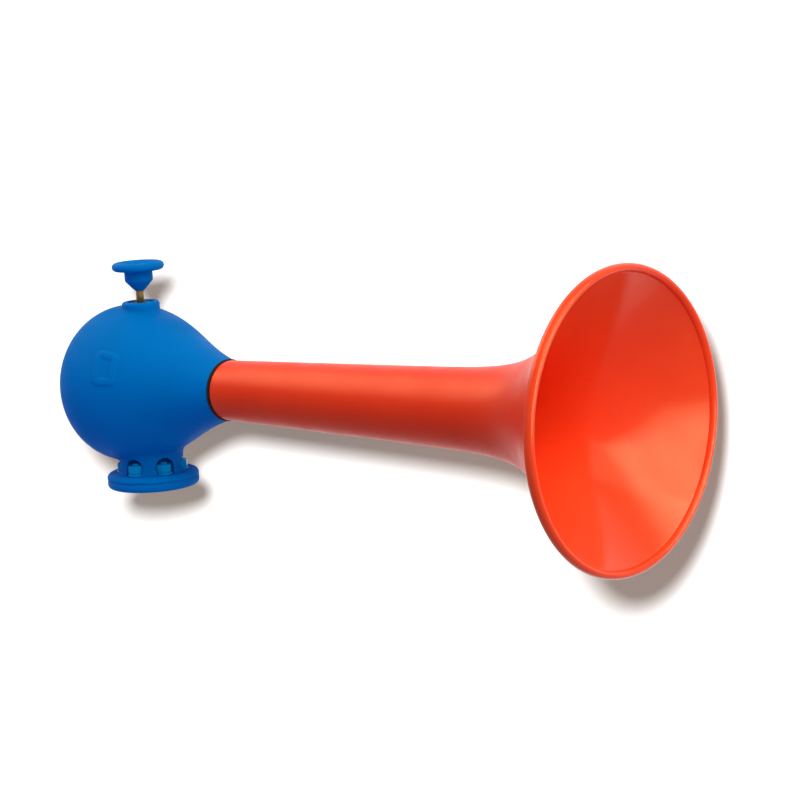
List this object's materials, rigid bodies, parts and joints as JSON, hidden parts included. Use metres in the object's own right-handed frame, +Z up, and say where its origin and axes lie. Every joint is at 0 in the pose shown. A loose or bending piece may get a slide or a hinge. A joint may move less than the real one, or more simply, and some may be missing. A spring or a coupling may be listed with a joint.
{
  "type": "air horn",
  "caption": "Compressed-air horn: a long flared trumpet on a pear-shaped wind chest, with a push-knob valve on top and a threaded, flanged air inlet below.",
  "frame": {"origin": "centre of the threaded air inlet, on the underside of the inlet plate", "axes": "+Z up the valve's axis through the knob, +X along the horn's axis out of the bell, +Y to the left looking out of the bell"},
  "size_m": [0.5235, 0.209, 0.209],
  "materials": {
    "blue_paint": "satin blue enamel over a casting",
    "orange_paint": "gloss orange-red enamel over spun metal",
    "brass": "turned brass, lightly tarnished",
    "bronze": "dull bronze",
    "steel": "spring and screw steel",
    "rubber": "black rubber",
    "fibre": "pressed fibre gasket and packing"
  },
  "bodies": {
    "horn": {"housing": "blue_paint", "trumpet": "orange_paint", "horn_seal": "rubber", "reed_block": "brass", "reed_gasket": "fibre", "reed_pipe": "brass", "reed_tongue": "bronze", "reed_clamp": "steel", "reed_screws": "steel", "inlet_plate": "blue_paint", "flange_gasket": "fibre", "flange_studs": "blue_paint", "flange_washers": "blue_paint", "flange_nuts": "blue_paint", "valve_seat": "brass", "return_spring": "steel", "stem_guide": "bronze", "stem_packing": "fibre", "gland_nut": "bronze", "stem_wiper": "rubber"},
    "plunger": {"knob": "blue_paint", "valve_stem": "brass", "valve_washer": "rubber", "valve_disc": "brass", "valve_lock_nut": "brass"}
  },
  "joints": [
    {"name": "knob_press", "type": "slide", "parent": "horn", "child": "plunger", "axis": [0, 0, -1], "range_m": [0, 0.006], "stiffness_N_per_m": 1500, "springref_m": -0.008, "deforming": ["return_spring"]}
  ]
}
